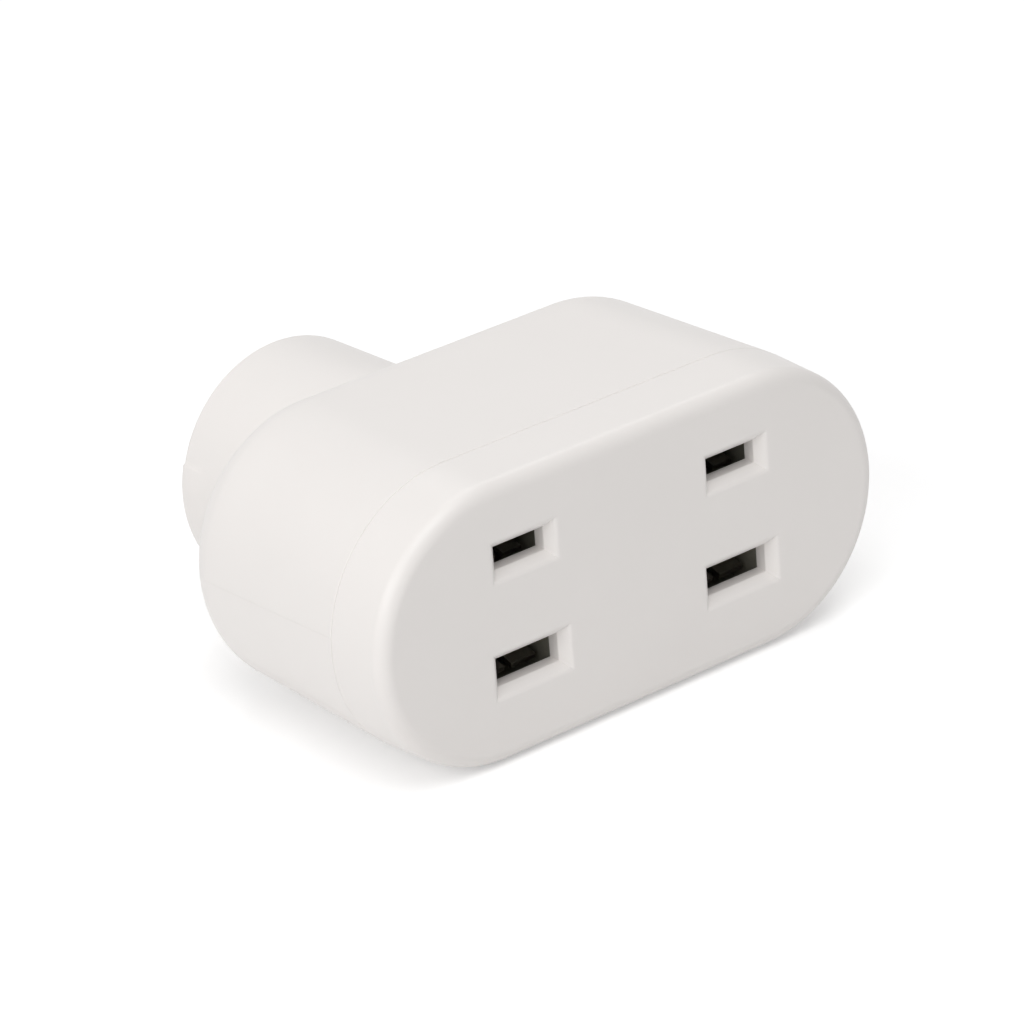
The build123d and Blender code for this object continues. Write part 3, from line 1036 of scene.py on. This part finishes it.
@dataclass
class CableBush:
    """Inlet bush: two soft-edged flanges on a waist, with the cord's bore through both."""

    end: float = 50.7
    flange: float = 1.0
    wall: float = 2.0
    flange_radius: float = 7.3
    waist_radius: float = 5.5
    bore_radius: float = 4.1
    edge_round: float = 0.35
    inner_round: float = 0.1

    def build(self) -> bpy.types.Object:
        """Turn the bush's outline round the axis of the boss."""
        under = self.end - self.flange
        inner = under - self.wall
        start = inner - self.flange
        middle = (start + self.end) / 2
        line = rounded_profile(
            [
                (middle, self.bore_radius, 0.0),
                (self.end, self.bore_radius, self.edge_round),
                (self.end, self.flange_radius, self.edge_round),
                (under, self.flange_radius, 0.0),
                (under, self.waist_radius, 0.0),
                (inner, self.waist_radius, 0.0),
                (inner, self.flange_radius, self.inner_round),
                (start, self.flange_radius, self.edge_round),
                (start, self.bore_radius, self.edge_round),
                (middle, self.bore_radius, 0.0),
            ]
        )
        skin = Surface.turned(line, FORM.boss_x, 0.0, Turn.REARWARD)
        bush = make_solid("inlet_bush", [skin])
        return mount(bush, BUSH_RUBBER.material(), "bush_rubber", "cable_bush")


@dataclass
class InnerParts:
    """CAD nodes that keep their shape and get their finish."""

    clips: tuple[str, ...] = ("clip_left", "clip_right")
    bars: tuple[str, ...] = ("bus_bar", "terminal")
    screws: tuple[str, ...] = ("bus_bar_screws", "cover_screws", "cord_clamp_screws")

    def finishes(self) -> dict[str, bpy.types.Material]:
        """Material of each node, by its name."""
        brass, tin = ROLLED_BRASS.material(), TINNED_BRONZE.material()
        rivet, steel = HEADED_BRASS.material(), ZINC_STEEL.material()
        worn = {
            "contact_carrier": CARRIER_PHENOLIC.material(),
            "cord_clamp_bar": CLAMP_NYLON.material(),
        }
        worn.update({name: steel for name in self.screws})
        for pole in Pole:
            worn.update({f"{pole.value}_{part}": tin for part in self.clips})
            worn.update({f"{pole.value}_{part}": brass for part in self.bars})
            worn[f"{pole.value}_clip_rivets"] = rivet
            worn[f"{pole.value}_terminal_screw"] = steel
        return worn

    def dress(self) -> list[str]:
        """Put each material on its node and return the names of the nodes."""
        worn = self.finishes()
        for name, material in worn.items():
            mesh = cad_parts[name].data
            mesh.materials.clear()
            mesh.materials.append(material)
        return sorted(worn)


# Studio


@dataclass(frozen=True)
class SoftBox:
    """Square area lamp that faces the socket."""

    name: str
    place: tuple[float, float, float]
    size: float
    power: float

    def build(self) -> None:
        """Hang the lamp and turn it to the socket."""
        lamp = bpy.data.lights.new(self.name, "AREA")
        lamp.size = self.size
        lamp.energy = self.power
        holder = bpy.data.objects.new(self.name, lamp)
        holder.location = self.place
        holder.rotation_euler = Vector(self.place).to_track_quat("Z", "Y").to_euler()
        bpy.context.scene.collection.objects.link(holder)


@dataclass
class Studio:
    """Plain pale floor, soft lamps, white surroundings and the camera."""

    floor_half: float = 3.0
    floor_lines: int = 13
    floor_tone: str = "F2F2F2"
    near_glow: float = 0.3
    far_glow: float = 1.0
    glow_from: float = 0.25
    glow_to: float = 1.2
    ambient: float = 0.32
    focal_pixels: float = 5332.0
    frame_pixels: float = 1024.0
    sensor: float = 36.0
    nearest: float = 0.01
    farthest: float = 20.0
    azimuth: float = -37.532
    elevation: float = 24.555
    roll: float = -4.534
    shift_right: float = -12.945
    shift_up: float = 5.851
    distance: float = 553.91
    lamps: tuple[SoftBox, ...] = (
        SoftBox("overhead_box", (-0.23, -0.4, 1.0), 0.7, 4.3),
        SoftBox("front_left_box", (-0.86, -0.5, 0.46), 0.6, 2.3),
        SoftBox("left_box", (-0.95, 0.0, 0.55), 0.6, 2.3),
        SoftBox("rear_right_box", (0.39, 0.39, 0.95), 0.6, 2.2),
    )

    def build(self) -> None:
        """Set the studio up."""
        self.floor()
        self.surroundings()
        for lamp in self.lamps:
            lamp.build()
        self.camera()

    def floor(self) -> None:
        """Flat square under the socket, which keeps the shadow.

        Its glow reaches the camera and reflections only. It is faint near the socket, and
        white far off, where the lamps don't light the paper.
        """
        side = np.linspace(-self.floor_half, self.floor_half, self.floor_lines)
        x, y = np.meshgrid(side, side)
        points = np.stack([x, y, np.zeros(x.shape)], axis=-1).reshape(-1, 3)
        mesh = bpy.data.meshes.new("studio_floor")
        quads = grid_quads(self.floor_lines, self.floor_lines, False)
        mesh.from_pydata(points.tolist(), [], quads.tolist())
        material = bpy.data.materials.new("white_paper_floor")
        material.use_nodes = True
        tree = material.node_tree
        tree.nodes.clear()
        paper = add_node(tree, "ShaderNodeBsdfDiffuse", {"Color": linear(self.floor_tone)}).outputs[0]
        place = add_node(tree, "ShaderNodeTexCoord").outputs["Object"]
        reach = add_node(tree, "ShaderNodeVectorMath", {0: place}, operation="LENGTH").outputs["Value"]
        level = add_node(
            tree,
            "ShaderNodeMapRange",
            {
                "Value": reach,
                "From Min": self.glow_from,
                "From Max": self.glow_to,
                "To Min": self.near_glow,
                "To Max": self.far_glow,
            },
            interpolation_type="SMOOTHSTEP",
        ).outputs[0]
        shown = add_node(
            tree, "ShaderNodeMath", {0: level, 1: self.seen(tree, 1.0)}, operation="MULTIPLY"
        ).outputs[0]
        glow = add_node(tree, "ShaderNodeEmission", {"Color": WHITE, "Strength": shown}).outputs[0]
        both = add_node(tree, "ShaderNodeAddShader", {0: paper, 1: glow}).outputs[0]
        add_node(tree, "ShaderNodeOutputMaterial", {"Surface": both})
        mesh.materials.append(material)
        floor = bpy.data.objects.new("studio_floor", mesh)
        bpy.context.scene.collection.objects.link(floor)

    def seen(
        self, tree: bpy.types.NodeTree, shown: float, hidden: float = 0.0
    ) -> bpy.types.NodeSocket:
        """Strength that camera, glossy and transmission rays see, and another for the rest."""
        path = add_node(tree, "ShaderNodeLightPath").outputs
        glossy = add_node(
            tree,
            "ShaderNodeMath",
            {0: path["Is Camera Ray"], 1: path["Is Glossy Ray"]},
            operation="MAXIMUM",
        ).outputs[0]
        direct = add_node(
            tree, "ShaderNodeMath", {0: glossy, 1: path["Is Transmission Ray"]}, operation="MAXIMUM"
        ).outputs[0]
        return add_node(
            tree, "ShaderNodeMapRange", {"Value": direct, "To Min": hidden, "To Max": shown}
        ).outputs[0]

    def surroundings(self) -> None:
        """White room: the same from all sides, and pure white to the camera."""
        world = bpy.data.worlds.new("white_room")
        world.use_nodes = True
        tree = world.node_tree
        tree.nodes.clear()
        strength = self.seen(tree, 1.0, self.ambient)
        room = add_node(tree, "ShaderNodeBackground", {"Color": WHITE, "Strength": strength})
        add_node(tree, "ShaderNodeOutputWorld", {"Surface": room.outputs[0]})
        bpy.context.scene.world = world

    def camera(self) -> None:
        """Camera at the photograph's angle.

        It stands back from the middle of the face along its azimuth and elevation, moved
        right and up in its own picture plane, and is rolled about its own axis.
        """
        turn, tilt, roll = (radians(value) for value in (self.azimuth, self.elevation, self.roll))
        back = Vector((sin(turn) * cos(tilt), -cos(turn) * cos(tilt), sin(tilt)))
        level = Vector((cos(turn), sin(turn), 0))
        upright = back.cross(level)
        right = cos(roll) * level + sin(roll) * upright
        up = cos(roll) * upright - sin(roll) * level
        place = Vector(FORM.origin) + back * self.distance
        place += right * self.shift_right + up * self.shift_up
        lens = bpy.data.cameras.new("camera")
        lens.sensor_width = self.sensor
        lens.lens = self.focal_pixels / self.frame_pixels * self.sensor
        lens.clip_start = self.nearest
        lens.clip_end = self.farthest
        camera = bpy.data.objects.new("camera", lens)
        turned = Matrix((right, up, back)).transposed().to_4x4()
        camera.matrix_world = Matrix.Translation(place * MM) @ turned
        scene = bpy.context.scene
        scene.collection.objects.link(camera)
        scene.camera = camera
        scene.view_settings.view_transform = "Standard"


def main() -> None:
    """Build the pieces in order and log their face counts, dress the CAD nodes and set up the studio.
    """
    logging.basicConfig(level=logging.INFO, format="%(message)s")
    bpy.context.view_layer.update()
    cap = FrontCap().build()
    log.info("%s: %d faces", cap.name, len(cap.data.polygons))
    for piece in RearBody().build():
        log.info("%s: %d faces", piece.name, len(piece.data.polygons))
    bush = CableBush().build()
    log.info("%s: %d faces", bush.name, len(bush.data.polygons))
    log.info("dressed: %s", ", ".join(InnerParts().dress()))
    Studio().build()


if __name__ == "__main__":
    main()
